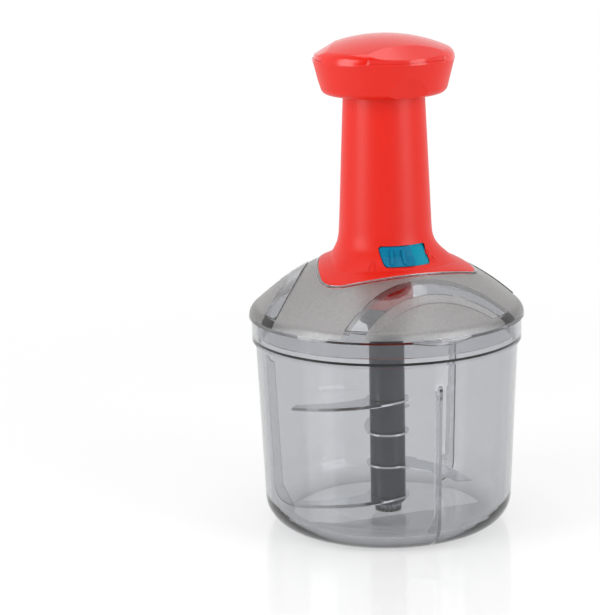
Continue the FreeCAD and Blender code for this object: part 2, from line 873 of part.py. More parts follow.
def biarc(start, way, end, end_way):
    """Gives two arcs that join two points with their directions."""
    across = end - start
    both = way + end_way
    square = 2 * (1 - way.dot(end_way))
    mixed = across.dot(both)
    reach = (-mixed + math.sqrt(mixed * mixed + square * across.dot(across))) / square
    corners = [start + way * reach, end - end_way * reach]
    joint = (corners[0] + corners[1]) * 0.5
    arcs = []
    for first, corner, last in ((start, corners[0], joint), (joint, corners[1], end)):
        middle = (first + last) * 0.5
        half = (last - first).Length / 2
        height = (corner - middle).Length
        sag = half * math.tan(math.atan2(height, half) / 2)
        arcs.append(Part.Arc(first, middle + (corner - middle) * (sag / height), last).toShape())
    return arcs


def coil(radius, wire, turns, low, high):
    """Gives a coil spring as one unbroken tube between two wire middles."""
    steps = int(turns * 4)
    places = []
    for step in range(steps + 1):
        share = step / steps
        angle = 2 * math.pi * turns * share
        place = Vector(radius * math.cos(angle), radius * math.sin(angle), low + (high - low) * share)
        way = Vector(-radius * math.sin(angle), radius * math.cos(angle),
                     (high - low) / (2 * math.pi * turns)).normalize()
        places.append((place, way))
    edges = []
    for (start, way), (end, end_way) in zip(places, places[1:]):
        edges += biarc(start, way, end, end_way)
    path = Part.Wire(edges)
    circle = Part.Wire(Part.Circle(places[0][0], places[0][1], wire / 2).toShape())
    shell = Part.BRepOffsetAPI.MakePipeShell(path)
    shell.add(circle)
    shell.build()
    shell.makeSolid()
    print("coil gap to itself: %.2f mm" % ((high - low) / turns - wire))
    return shell.shape()


def make_springs():
    """Return spring between the carrier and the stem's head, and the ratchet's small spring."""
    wire = SIZES["spring_wire"]
    low = SIZES["carrier_top"] + wire / 2 + 0.05
    high = SIZES["stem_head_bottom"] - wire / 2 - 0.05
    keep("return_spring", coil(SIZES["spring_radius"], wire, SIZES["spring_turns"], low, high))
    wire = SIZES["ratchet_spring_wire"]
    low = SIZES["carrier_bottom"] + wire / 2 + 0.05
    high = SIZES["ratchet_gap"] - 5.0 - wire / 2 - 0.05
    keep("ratchet_spring", coil(SIZES["ratchet_spring_radius"], wire,
                                SIZES["ratchet_spring_turns"], low, high))


# Carrier and drive


def make_carrier():
    """Inner tube of the lid, with the bearing of the drive tube, and the ring at its lower end."""
    turned("bearing_carrier", [
        (D.carrier_bore, D.carrier_bottom),
        (D.carrier_radius, D.carrier_bottom),
        (D.carrier_radius, D.crown_height),
        (D.carrier_flange_radius, D.crown_height),
        (D.carrier_flange_radius, D.carrier_top),
        (D.bearing_bore, D.carrier_top),
        (D.bearing_bore, D.carrier_shoulder),
        (D.carrier_bore, D.carrier_shoulder),
    ])
    bore = D.flange_radius - 3.2
    bevel = 0.6
    lip_top = D.carrier_bottom + 1.6
    turned("hub_ring", [
        (bore, D.hub_ring_bottom),
        (D.hub_ring_radius - bevel, D.hub_ring_bottom),
        (D.hub_ring_radius, D.hub_ring_bottom + bevel),
        (D.hub_ring_radius, lip_top),
        (D.carrier_radius, lip_top),
        (D.carrier_radius, D.carrier_bottom),
        (bore, D.carrier_bottom),
    ])
    washer_low = D.carrier_shoulder - 0.9
    washer_top = D.carrier_shoulder - 0.1
    washer_bore = D.tube_radius + 0.1
    turned("thrust_washer", [
        (washer_bore, washer_low),
        (D.ratchet_radius, washer_low),
        (D.ratchet_radius, washer_top),
        (washer_bore, washer_top),
    ])


def saw_teeth(height, step, turn):
    """Gives a ring of saw teeth as wedges between two radii; a minus step hangs them."""
    count = int(SIZES["tooth_count"])
    wedges = []
    half_angle = math.pi / count
    for index in range(count):
        ends = []
        for radius in (6.0, SIZES["ratchet_radius"] - 0.4):
            half = radius * math.tan(half_angle)
            side = half if step > 0 else -half
            root = height - math.copysign(0.5, step)
            corners = [Vector(radius, -side, root), Vector(radius, side, root),
                       Vector(radius, side, height + step),
                       Vector(radius, -side, height + math.copysign(0.05, step))]
            ends.append(Part.makePolygon(corners + corners[:1]))
        wedge = Part.makeLoft(ends, True, True)
        wedge.rotate(Vector(), Vector(0, 0, 1), 360.0 / count * index + turn)
        wedges.append(wedge)
    return wedges


def make_drive():
    """Drive tube with hanging ratchet teeth, its twisted nut, and the toothed spindle below."""
    tooth = SIZES["tooth_height"]
    gap = SIZES["ratchet_gap"]
    flange_low = gap + 0.2
    radius = SIZES["ratchet_radius"]
    flange_top = SIZES["carrier_shoulder"] - 1.0
    tube = Part.makeCylinder(SIZES["tube_radius"], SIZES["tube_top"] - flange_low,
                             Vector(0, 0, flange_low))
    flange = Part.makeCylinder(radius, flange_top - flange_low, Vector(0, 0, flange_low))
    bore = Part.makeCylinder(SIZES["tube_bore"], 80.0, Vector(0, 0, flange_low - 5.0))
    nut_low = SIZES["tube_top"] - SIZES["nut_length"]
    seat = Part.makeCylinder(SIZES["nut_radius"], 20.0, Vector(0, 0, nut_low))
    shape = tube.fuse([flange] + saw_teeth(flange_low, -tooth, 0.4)).cut([bore, seat])
    keep("drive_tube", shape.removeSplitter().Solids[0])

    nut = Part.makeCylinder(SIZES["nut_radius"], SIZES["nut_length"], Vector(0, 0, nut_low))
    wide = SIZES["rod_wide"] + 2 * SIZES["nut_clearance"]
    thick = SIZES["rod_thick"] + 2 * SIZES["nut_clearance"]
    slot = twisted_bar(wide, thick, nut_low - 1.0, SIZES["tube_top"] + 1.0)
    keep("drive_nut", nut.cut(slot).Solids[0])

    disc_low = gap - 5.0
    disc_top = gap - tooth
    disc = Part.makeCylinder(radius - 0.2, disc_top - disc_low, Vector(0, 0, disc_low))
    stub = Part.makeCylinder(SIZES["tube_bore"] - 0.1, gap + 2.0 - disc_low, Vector(0, 0, disc_low))
    half = SIZES["spindle_square"] / 2
    low = SIZES["spindle_bottom"]
    square = Part.makeBox(2 * half, 2 * half, disc_low + 0.5 - low, Vector(-half, -half, low))
    lead_in = Part.makeCone(half, 2 * half, 1.5 * half, Vector(0, 0, low))
    square = square.common(lead_in.fuse(Part.makeCylinder(2 * half, 30.0,
                                                          Vector(0, 0, low + 1.5 * half))))
    spindle = disc.fuse([stub, square] + saw_teeth(disc_top, tooth, 0.0))
    keep("ratchet_spindle", spindle.removeSplitter().Solids[0])


# Blade unit


def level(index):
    """Gives the underside of a blade, counted from the lowest."""
    return D.blade_level + D.blade_spacing * index


def make_shaft():
    """Foot, three spacers and the sleeve of the shaft, threaded on a steel tube."""
    radius = D.shaft_radius
    core = D.core_radius
    turned("shaft_foot", [
        (core, D.shaft_bottom),
        (radius - 1.0, D.shaft_bottom),
        (radius, D.shaft_bottom + 1.0),
        (radius, level(0)),
        (core, level(0)),
    ])
    seam = 0.3
    for index in range(3):
        low = level(index) + D.blade_thick
        high = level(index + 1)
        turned("spacer_%d" % (index + 1), [
            (core, low),
            (radius - seam, low),
            (radius, low + seam),
            (radius, high - seam),
            (radius - seam, high),
            (core, high),
        ])
    bore = D.pin_radius + 0.06
    core_low = D.shaft_bottom + 0.5
    turned("core_tube", [
        (bore, core_low),
        (core, core_low),
        (core, D.core_top),
        (bore, D.core_top),
    ])
    sleeve = new_body("blade_sleeve")
    low = level(3) + D.blade_thick
    flange_low = D.flange_top - D.flange_thick
    boss = 9.3
    edge = 0.4
    spin(sleeve, [
        (core, low),
        (radius - seam, low),
        (radius, low + seam),
        (radius, flange_low - 8.0, -9.0),
        (radius + 2.6, flange_low),
        (D.flange_radius - edge, flange_low),
        (D.flange_radius, flange_low + edge),
        (D.flange_radius, D.flange_top - edge),
        (D.flange_radius - edge, D.flange_top),
        (boss, D.flange_top),
        (boss, D.boss_top_height - 1.0),
        (boss - 1.0, D.boss_top_height),
        (0, D.boss_top_height),
        (0, D.core_top),
        (core, D.core_top),
    ])
    extrude(sleeve, square_corners(D.socket_square), D.boss_top_height - D.flange_top + 2.0,
            kind="Pocket", shift=(0, 0, D.boss_top_height))


def make_blades():
    """Four sickle blades with a ground bevel on the leading edge, each turned by a third."""
    hub = D.blade_hub_radius
    across, along = 8.0, 6.6
    back_arc = 47.0
    for index in range(4):
        label = "blade_%d" % (index + 1)
        blank = new_body(label + "_blank")
        extrude(blank, [
            (D.blade_root, hub - 0.15, -D.blade_lead_arc),
            (D.blade_tip, D.blade_tip_back),
            (D.blade_tip - 6.0, D.blade_tip_back - 3.5, back_arc),
            (across, -along, -hub),
            (-across, -along, -hub),
            (-across, along, -hub),
        ], D.blade_thick, shift=(0, 0, level(index)))
        extrude_circle(blank, D.core_radius, D.blade_thick * 2, kind="Pocket",
                       shift=(0, 0, level(index) - 0.5))
        DOCUMENT.recompute()
        del NODES[blank.Label]
        place = Placement(Vector(), Rotation(Vector(0, 0, 1), 200.0 + THIRD * index))
        top = level(index).value + SIZES["blade_thick"]
        keep(label, solid_of(blank).cut(grinding(top)).Solids[0], place)


def grinding(top):
    """Gives the wedge that is ground off a blade along the arc of its leading edge."""
    arc = SIZES["blade_lead_arc"]
    wide = SIZES["bevel_wide"]
    steep = SIZES["bevel_deep"] / wide
    root = Vector(SIZES["blade_root"], SIZES["blade_hub_radius"] - 0.15, 0)
    tip = Vector(SIZES["blade_tip"], SIZES["blade_tip_back"], 0)
    centre = arc_between(root, tip, -arc).Center
    first, last = 24.0, 76.0
    over = 0.3
    face = Part.Face(wire_of([
        (arc - wide, top),
        (arc + over, top - steep * (wide + over)),
        (arc + over, top + over),
        (arc - wide, top + over),
    ]))
    face.rotate(Vector(), Vector(0, 0, 1), first)
    wedge = face.revolve(Vector(), Vector(0, 0, 1), last - first)
    wedge.translate(centre)
    return wedge


def check_document():
    """Stops when an object failed or a node has no valid solid."""
    DOCUMENT.recompute()
    for item in DOCUMENT.Objects:
        bad = [state for state in item.State if state in ("Invalid", "Error")]
        if bad:
            raise RuntimeError("%s is %s" % (item.Name, bad))
    for label, item in NODES.items():
        if item.Shape.isNull() or not item.Shape.isValid() or not item.Shape.Solids:
            raise RuntimeError("%s has no valid solid" % label)


def main():
    """Builds every node, checks it and writes its file."""
    fill_sheet()
    make_bowl()
    make_pivot_pin()
    make_lid_dome()
    make_lid_screws()
    make_housing()
    make_lock_slider()
    make_cap_base()
    make_cap_cover()
    make_stem()
    make_rod()
    make_springs()
    make_carrier()
    make_drive()
    make_shaft()
    make_blades()
    check_document()
    os.makedirs("parts", exist_ok=True)
    for label, item in NODES.items():
        item.Shape.exportStep("parts/%s.step" % label)
        box = item.Shape.BoundBox
        print("%-16s solids %d volume %9.1f z %.1f to %.1f r %.1f" % (
            label, len(item.Shape.Solids), item.Shape.Volume, box.ZMin, box.ZMax, box.XMax))


main()
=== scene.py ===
"""Dresses the plunger food chopper: a clear bowl, a smoky lid with a red column, and a red cap."""
import logging
import math
from dataclasses import dataclass, field
from enum import Enum
from typing import Callable, Optional

import bmesh
import bpy
from mathutils import Matrix, Vector
from mathutils.bvhtree import BVHTree


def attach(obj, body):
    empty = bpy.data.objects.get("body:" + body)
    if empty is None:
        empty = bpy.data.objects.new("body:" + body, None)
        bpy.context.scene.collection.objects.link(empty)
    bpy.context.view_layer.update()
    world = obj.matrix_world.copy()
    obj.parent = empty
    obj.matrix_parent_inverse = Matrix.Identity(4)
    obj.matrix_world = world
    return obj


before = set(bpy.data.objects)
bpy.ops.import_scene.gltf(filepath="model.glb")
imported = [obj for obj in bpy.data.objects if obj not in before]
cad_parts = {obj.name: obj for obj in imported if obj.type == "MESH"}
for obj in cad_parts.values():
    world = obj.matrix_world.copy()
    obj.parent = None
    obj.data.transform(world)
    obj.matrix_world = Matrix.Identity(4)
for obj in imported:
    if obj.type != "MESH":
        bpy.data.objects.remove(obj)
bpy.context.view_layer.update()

LOG = logging.getLogger("food_chopper")
MM = 0.001
PHOTO_HEIGHT_PX = 615
SENSOR_MM = 36.0
# The lid, the foot and the bowl repeat three times round the column
THIRD_DEG = 120
# The Mix node's sockets for colours and for numbers, which bear the same names
COLOUR_A, COLOUR_B, COLOUR_OUT = 6, 7, 2
NUMBER_A, NUMBER_B, NUMBER_OUT = 2, 3, 0

Tree = bpy.types.NodeTree
Socket = bpy.types.NodeSocket
# Corners as their distance from the column's axis and their rise over the dome, in millimetres
Section = list[tuple[float, float]]


class Finish(Enum):
    """The finishes of the pieces: all but LID_FRAME are named after the record's slots."""

    BOWL = "clear_plastic"
    LID = "lid_plastic"
    LID_FRAME = "lid_plastic_polished"
    COLUMN = "column_red"
    CAP = "cap_red"
    LOCK = "lock_blue"
    SHAFT = "shaft_grey"
    NYLON = "inner_plastic"
    BLADE = "blade_steel"
    STEEL = "steel"

    @property
    def slot(self) -> str:
        """The record's material slot, which the lid's frame shares with the lid."""
        return Finish.LID.value if self is Finish.LID_FRAME else self.value


Materials = dict[Finish, bpy.types.Material]


def linear(colour: str) -> tuple[float, float, float, float]:
    """Turns an sRGB hex colour into linear light.

    Args:
        colour: The colour as "#RRGGBB".

    Returns:
        Red, green, blue and an alpha of 1.
    """
    channels = []
    for start in (1, 3, 5):
        value = int(colour[start:start + 2], 16) / 255
        channels.append(value / 12.92 if value <= 0.04045 else ((value + 0.055) / 1.055) ** 2.4)
    return (channels[0], channels[1], channels[2], 1.0)


def per_metre(size_mm: float) -> float:
    """Gives how many lengths of a size in millimetres fit into a metre."""
    return 1000 / size_mm


def add_node(tree: Tree, kind: str, inputs: Optional[dict] = None,
             **settings: object) -> bpy.types.Node:
    """Adds a shader node with its settings and links.

    Args:
        tree: The node tree.
        kind: The node's type.
        inputs: Values or sockets by input name or number.
        settings: Attributes of the node.

    Returns:
        The new node.
    """
    node = tree.nodes.new(kind)
    for name, value in settings.items():
        setattr(node, name, value)
    for name, value in (inputs or {}).items():
        if isinstance(value, Socket):
            tree.links.new(value, node.inputs[name])
        else:
            node.inputs[name].default_value = value
    return node


def new_material(name: str) -> tuple[bpy.types.Material, Tree]:
    """Adds an empty node material.

    Args:
        name: The material's name.

    Returns:
        The material and its node tree.
    """
    material = bpy.data.materials.new(name)
    material.use_nodes = True
    material.node_tree.nodes.clear()
    return material, material.node_tree


@dataclass(frozen=True)
class ClearBowlPlastic:
    """SAN, injection moulded in a polished tool: clear, with smoke that deepens with depth."""

    tint: str = "#F1F2F4"
    smoke: str = "#8F9298"
    smoke_per_metre: float = 115.0
    index: float = 1.52
    roughness: float = 0.015
    ripple_mm: float = 38.0
    ripple_strength: float = 0.02
    ripple_height_mm: float = 2.0
    haze_mm: float = 12.0
    haze_share: float = 0.5

    def build(self) -> bpy.types.Material:
        """Builds the material: faint flow ripples of the moulding in an otherwise polished wall.

        Returns:
            The material.
        """
        material, tree = new_material("smoky_clear_san")
        place = add_node(tree, "ShaderNodeTexCoord").outputs["Object"]
        ripple = add_node(tree, "ShaderNodeTexNoise", {
            "Vector": place, "Scale": per_metre(self.ripple_mm), "Detail": 1.0})
        bump = add_node(tree, "ShaderNodeBump", {
            "Height": ripple.outputs["Fac"], "Strength": self.ripple_strength,
            "Distance": self.ripple_height_mm * MM})
        # Handling leaves a slight haze in patches
        patches = add_node(tree, "ShaderNodeTexNoise", {
            "Vector": place, "Scale": per_metre(self.haze_mm), "Detail": 2.0})
        haze = add_node(tree, "ShaderNodeMapRange", {
            "Value": patches.outputs["Fac"], "To Min": self.roughness * (1 - self.haze_share),
            "To Max": self.roughness * (1 + self.haze_share)})
        shell = add_node(tree, "ShaderNodeBsdfPrincipled", {
            "Base Color": linear(self.tint), "Roughness": haze.outputs["Result"],
            "IOR": self.index, "Transmission Weight": 1.0, "Normal": bump.outputs["Normal"]})
        smoke = add_node(tree, "ShaderNodeVolumeAbsorption", {
            "Color": linear(self.smoke), "Density": self.smoke_per_metre})
        add_node(tree, "ShaderNodeOutputMaterial", {
            "Surface": shell.outputs["BSDF"], "Volume": smoke.outputs["Volume"]})
        return material


@dataclass(frozen=True)
class LidPlastic:
    """SAN tinted grey: spark-eroded panels that scatter light, with polished arches and rim."""

    name: str = "smoky_frosted_san"
    tint: str = "#EEEEF0"
    frost_dark: str = "#C6C4C2"
    frost_light: str = "#E3E1DF"
    smoke: str = "#6F7278"
    smoke_per_metre: float = 82.0
    index: float = 1.52
    polished: float = 0.04
    frosted: float = 0.33
    scatter: float = 0.2
    grit_mm: float = 0.9
    grit_strength: float = 0.3
    grit_height_mm: float = 0.2
    speckle_mm: float = 1.3
    speckle_spread: float = 0.3
    rim_height_mm: float = 103.6
    # How near to the axis each edge of an arch comes, and the radius of its arc
    outer_reach_mm: float = 38.1
    outer_arc_mm: float = 101.2
    inner_reach_mm: float = 46.9
    inner_arc_mm: float = 86.9

    def build(self) -> bpy.types.Material:
        """Builds the material, with the polished arches found from the place on the lid.

        Returns:
            The material.
        """
        material, tree = new_material(self.name)
        place = add_node(tree, "ShaderNodeTexCoord").outputs["Object"]
        polish = self.polish_mask(tree, place)
        colour = add_node(tree, "ShaderNodeMix", {
            "Factor": polish, COLOUR_A: self.frost(tree, place), COLOUR_B: linear(self.tint)},
            data_type="RGBA")
        dullness = add_node(tree, "ShaderNodeMapRange", {
            "Value": polish, "To Min": self.frosted, "To Max": self.polished})
        clearness = add_node(tree, "ShaderNodeMapRange", {
            "Value": polish, "To Min": 1 - self.scatter, "To Max": 1.0})
        shell = add_node(tree, "ShaderNodeBsdfPrincipled", {
            "Base Color": colour.outputs[COLOUR_OUT], "IOR": self.index,
            "Roughness": dullness.outputs["Result"],
            "Transmission Weight": clearness.outputs["Result"],
            "Normal": self.grit(tree, place, polish)})
        smoke = add_node(tree, "ShaderNodeVolumeAbsorption", {
            "Color": linear(self.smoke), "Density": self.smoke_per_metre})
        add_node(tree, "ShaderNodeOutputMaterial", {
            "Surface": shell.outputs["BSDF"], "Volume": smoke.outputs["Volume"]})
        return material

    def frost(self, tree: Tree, place: Socket) -> Socket:
        """Gives the colour of the eroded panels, which is speckled.

        Args:
            tree: The material's tree.
            place: The place on the lid, in metres.

        Returns:
            The socket of the colour.
        """
        speckle = add_node(tree, "ShaderNodeTexNoise", {
            "Vector": place, "Scale": per_metre(self.speckle_mm), "Detail": 3.0})
        # The noise keeps to its middle values, so the range is spread past both ends
        share = add_node(tree, "ShaderNodeMapRange", {
            "Value": speckle.outputs["Fac"], "To Min": -self.speckle_spread,
            "To Max": 1 + self.speckle_spread})
        return add_node(tree, "ShaderNodeMix", {
            "Factor": share.outputs["Result"], COLOUR_A: linear(self.frost_dark),
            COLOUR_B: linear(self.frost_light)}, data_type="RGBA").outputs[COLOUR_OUT]

    def grit(self, tree: Tree, place: Socket, polish: Socket) -> Socket:
        """Gives the bump of the eroded surface, which fades out where the lid is polished.

        Args:
            tree: The material's tree.
            place: The place on the lid, in metres.
            polish: 1 where the lid is polished, and 0 on the panels.

        Returns:
            The socket of the surface's direction.
        """
        # The eroded grit is about 0.05 mm: drawn coarser, so that it shows
        grains = add_node(tree, "ShaderNodeTexNoise", {
            "Vector": place, "Scale": per_metre(self.grit_mm), "Detail": 2.0})
        strength = add_node(tree, "ShaderNodeMapRange", {
            "Value": polish, "To Min": self.grit_strength, "To Max": 0.0})
        return add_node(tree, "ShaderNodeBump", {
            "Height": grains.outputs["Fac"], "Strength": strength.outputs["Result"],
            "Distance": self.grit_height_mm * MM}).outputs["Normal"]

    def polish_mask(self, tree: Tree, place: Socket) -> Socket:
        """Gives 1 on the three arches and below the shoulder, and 0 on the panels.

        Args:
            tree: The material's tree.
            place: The place on the lid, in metres.

        Returns:
            The socket of the mask.
        """
        split = add_node(tree, "ShaderNodeSeparateXYZ", {"Vector": place})
        mask = add_node(tree, "ShaderNodeMath", {
            0: split.outputs["Z"], 1: self.rim_height_mm * MM},
            operation="LESS_THAN").outputs["Value"]
        for third in range(3):
            angle = math.radians(THIRD_DEG * third - 90)
            way = Vector((math.cos(angle), math.sin(angle), 0))
            outer = self.inside(tree, place, way, self.outer_reach_mm, self.outer_arc_mm)
            inner = self.inside(tree, place, way, self.inner_reach_mm, self.inner_arc_mm)
            band = add_node(tree, "ShaderNodeMath", {0: outer, 1: inner}, operation="SUBTRACT")
            mask = add_node(tree, "ShaderNodeMath", {0: mask, 1: band.outputs["Value"]},
                            operation="MAXIMUM").outputs["Value"]
        return mask

    def inside(self, tree: Tree, place: Socket, way: Vector, reach: float, arc: float) -> Socket:
        """Gives 1 within the upright cylinder of an arch's arc, whose axis is outside the lid.

        Args:
            tree: The material's tree.
            place: The place on the lid, in metres.
            way: The direction of the arch from the lid's axis.
            reach: How near to the lid's axis the arc comes, in millimetres.
            arc: The arc's radius, in millimetres.

        Returns:
            The socket of the mask.
        """
        flat = add_node(tree, "ShaderNodeVectorMath", {0: place, 1: (1, 1, 0)},
                        operation="MULTIPLY")
        gap = add_node(tree, "ShaderNodeVectorMath", {
            0: flat.outputs["Vector"], 1: way * ((reach + arc) * MM)}, operation="DISTANCE")
        return add_node(tree, "ShaderNodeMath", {0: gap.outputs["Value"], 1: arc * MM},
                        operation="LESS_THAN").outputs["Value"]


@dataclass(frozen=True)
class MouldedPlastic:
    """ABS or nylon from the mould: an even colour, and a fine eroded texture that scatters."""

    name: str
    colour: str
    shade: str
    roughness: float
    texture_mm: float
    texture_strength: float
    texture_height_mm: float = 0.3
    unevenness: float = 0.06
    coat: float = 0.0
    coat_roughness: float = 0.06
    index: float = 1.46
    flow_mm: float = 45.0

    def build(self) -> bpy.types.Material:
        """Builds the material: slow tone changes of the melt, and the tool's texture as bump.

        Returns:
            The material.
        """
        material, tree = new_material(self.name)
        place = add_node(tree, "ShaderNodeTexCoord").outputs["Object"]
        # A tool's eroded grain is about 0.1 mm: drawn coarser, so that it shows
        texture = add_node(tree, "ShaderNodeTexNoise", {
            "Vector": place, "Scale": per_metre(self.texture_mm), "Detail": 3.0}).outputs["Fac"]
        bump = add_node(tree, "ShaderNodeBump", {
            "Height": texture, "Strength": self.texture_strength,
            "Distance": self.texture_height_mm * MM})
        shell = add_node(tree, "ShaderNodeBsdfPrincipled", {
            "Base Color": self.tone(tree, place),
            "Roughness": self.dullness(tree, place, texture), "IOR": self.index,
            "Coat Weight": self.coat, "Coat Roughness": self.coat_roughness,
            "Normal": bump.outputs["Normal"]})
        add_node(tree, "ShaderNodeOutputMaterial", {"Surface": shell.outputs["BSDF"]})
        return material

    def tone(self, tree: Tree, place: Socket) -> Socket:
        """Gives the colour, which drifts slowly where the melt flowed.

        Args:
            tree: The material's tree.
            place: The place on the piece, in metres.

        Returns:
            The socket of the colour.
        """
        flow = add_node(tree, "ShaderNodeTexNoise", {
            "Vector": place, "Scale": per_metre(self.flow_mm), "Detail": 2.0})
        return add_node(tree, "ShaderNodeMix", {
            "Factor": flow.outputs["Fac"], COLOUR_A: linear(self.colour),
            COLOUR_B: linear(self.shade)}, data_type="RGBA").outputs[COLOUR_OUT]

    def dullness(self, tree: Tree, place: Socket, texture: Socket) -> Socket:
        """Gives the roughness, which follows the tool's texture a little.

        Args:
            tree: The material's tree.
            place: The place on the piece, in metres.
            texture: The height of the tool's texture, from 0 to 1.

        Returns:
            The socket of the roughness.
        """
        return add_node(tree, "ShaderNodeMapRange", {
            "Value": texture, "To Min": self.roughness - self.unevenness,
            "To Max": self.roughness + self.unevenness}).outputs["Result"]


@dataclass(frozen=True)
class SliderPlastic(MouldedPlastic):
    """POM: the plate is polished by its track, and the raised thumb piece is eroded."""

    thumb_right_mm: float = 2.5
    polished: float = 0.12
    # The plate's lighter blue is a painted sheen of its polish: the plastic is one blue all over
    plate_sheen_colour: str = "#018FAA"

    def tone(self, tree: Tree, place: Socket) -> Socket:
        """Gives the colour, with a painted sheen: the polished plate is painted a lighter blue
        than the rest.

        Args:
            tree: The material's tree.
            place: The place on the slider, in metres.

        Returns:
            The socket of the colour.
        """
        return add_node(tree, "ShaderNodeMix", {
            "Factor": self.on_thumb(tree, place), COLOUR_A: linear(self.plate_sheen_colour),
            COLOUR_B: super().tone(tree, place)}, data_type="RGBA").outputs[COLOUR_OUT]

    def dullness(self, tree: Tree, place: Socket, texture: Socket) -> Socket:
        """Gives a low roughness on the plate, and the eroded one where the thumb piece rises.

        Args:
            tree: The material's tree.
            place: The place on the slider, in metres.
            texture: The height of the tool's texture, which is too even here to matter.

        Returns:
            The socket of the roughness.
        """
        return add_node(tree, "ShaderNodeMapRange", {
            "Value": self.on_thumb(tree, place), "To Min": self.polished,
            "To Max": self.roughness}).outputs["Result"]

    def on_thumb(self, tree: Tree, place: Socket) -> Socket:
        """Gives 1 on the thumb piece and left of it, and 0 on the plate to its right.

        Args:
            tree: The material's tree.
            place: The place on the slider, in metres.

        Returns:
            The socket of the mask.
        """
        split = add_node(tree, "ShaderNodeSeparateXYZ", {"Vector": place})
        return add_node(tree, "ShaderNodeMath", {
            0: split.outputs["X"], 1: self.thumb_right_mm * MM},
            operation="LESS_THAN").outputs["Value"]


@dataclass(frozen=True)
class Steel:
    """Stainless steel, ground and polished: a bright metal with fine straight grinding lines."""

    name: str
    colour: str
    roughness: float
    unevenness: float = 0.4
    line_wide_mm: float = 0.35
    line_long_mm: float = 50.0
    line_deep_mm: float = 5.0
    line_strength: float = 0.06
    line_height_mm: float = 0.2

    def build(self) -> bpy.types.Material:
        """Builds the material: grinding lines along X as bump and as a change of roughness.

        Returns:
            The material.
        """
        material, tree = new_material(self.name)
        place = add_node(tree, "ShaderNodeTexCoord").outputs["Object"]
        # The lines are about 0.05 mm wide: drawn coarser, so that they show
        stretch = add_node(tree, "ShaderNodeMapping", {
            "Vector": place,
            "Scale": (per_metre(self.line_long_mm), per_metre(self.line_wide_mm),
                      per_metre(self.line_deep_mm))})
        lines = add_node(tree, "ShaderNodeTexNoise", {
            "Vector": stretch.outputs["Vector"], "Scale": 1.0, "Detail": 2.0}).outputs["Fac"]
        bump = add_node(tree, "ShaderNodeBump", {
            "Height": lines, "Strength": self.line_strength,
            "Distance": self.line_height_mm * MM})
        dullness = add_node(tree, "ShaderNodeMapRange", {
            "Value": lines, "To Min": self.roughness * (1 - self.unevenness),
            "To Max": self.roughness * (1 + self.unevenness)})
        shell = add_node(tree, "ShaderNodeBsdfPrincipled", {
            "Base Color": linear(self.colour), "Metallic": 1.0,
            "Roughness": dullness.outputs["Result"], "Normal": bump.outputs["Normal"]})
        add_node(tree, "ShaderNodeOutputMaterial", {"Surface": shell.outputs["BSDF"]})
        return material


FINISHES = {
    # Clear SAN: a faintly grey wall that looks darker along its edges and in the thick base
    Finish.BOWL: ClearBowlPlastic(),
    # Grey SAN: panels like ground glass, between arches that one looks through
    Finish.LID: LidPlastic(),
    # The lid's plastic where the tool is polished all over: its rim reaches above the whole lid
    Finish.LID_FRAME: LidPlastic("smoky_polished_san", rim_height_mm=200.0),
    # Satin ABS: a saturated red with broad soft highlights
    Finish.COLUMN: MouldedPlastic(
        "satin_red_abs", "#DD1E0A", "#D71A08", roughness=0.4, texture_mm=0.7,
        texture_strength=0.04, index=1.4),
    # The same ABS from a polished tool: sharp highlights
    Finish.CAP: MouldedPlastic(
        "gloss_red_abs", "#E11C0B", "#DB1808", roughness=0.21, texture_mm=2.5,
        texture_strength=0.01, coat=0.1),
    # POM, which slides well: a blue, dull on the thumb piece and shiny on the plate, which is
    # painted a lighter blue as painted sheen
    Finish.LOCK: SliderPlastic(
        "blue_pom", "#01769B", "#016E91", roughness=0.34, texture_mm=0.6,
        texture_strength=0.03, index=1.25),
    # Glass-filled nylon: slate grey and slightly mottled
    Finish.SHAFT: MouldedPlastic(
        "slate_nylon", "#41454E", "#3A3E46", roughness=0.36, texture_mm=0.5,
        texture_strength=0.08),
    # Nylon without a pigment: an ivory that is dull all over
    Finish.NYLON: MouldedPlastic(
        "natural_nylon", "#D9D6CC", "#D0CDC2", roughness=0.4, texture_mm=0.8,
        texture_strength=0.04),
    # Ground and polished: a bright surface that draws reflections out along its lines
    Finish.BLADE: Steel("polished_stainless", "#D5D7D9", roughness=0.14),
    # Drawn or turned, and left so: a duller grey
    Finish.STEEL: Steel("bright_steel", "#BFC2C6", roughness=0.25),
}


def smooth(piece: bpy.types.Object, sharp_deg: float) -> None:
    """Shades a mesh smoothly, apart from its sharp edges.

    Args:
        piece: The object with the mesh.
        sharp_deg: The angle between two faces from which their edge is sharp.
    """
    mesh = piece.data
    mesh.shade_smooth()
    work = bmesh.new()
    work.from_mesh(mesh)
    for edge in work.edges:
        edge.smooth = (len(edge.link_faces) == 2
                       and edge.calc_face_angle(0) < math.radians(sharp_deg))
    work.to_mesh(mesh)
    work.free()


def surface_of(node: str) -> BVHTree:
    """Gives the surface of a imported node, on which rays find a place."""
    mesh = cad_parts[node].data
    return BVHTree.FromPolygons([vertex.co for vertex in mesh.vertices],
                                [face.vertices for face in mesh.polygons])


def join_rings(work: bmesh.types.BMesh, rings: list[list[bmesh.types.BMVert]],
               closed: bool) -> None:
    """Adds the faces of a bar between sections that follow each other.

    Args:
        work: The mesh that holds the sections' corners.
        rings: The corners of each section, in the same order.
        closed: Whether the last section meets the first; otherwise both ends get a face.
    """
    following = rings[1:] + rings[:1] if closed else rings[1:]
    for first, second in zip(rings, following):
        for index in range(len(first)):
            after = (index + 1) % len(first)
            work.faces.new((first[index], first[after], second[after], second[index]))
    if not closed:
        work.faces.new(rings[0][::-1])
        work.faces.new(rings[-1])


def to_object(work: bmesh.types.BMesh, name: str) -> bpy.types.Object:
    """Makes an object of the scene from a mesh under work, which it frees.

    Args:
        work: The mesh under work.
        name: The object's name.

    Returns:
        The new object.
    """
    mesh = bpy.data.meshes.new(name)
    work.to_mesh(mesh)
    work.free()
    piece = bpy.data.objects.new(name, mesh)
    bpy.context.scene.collection.objects.link(piece)
    return piece


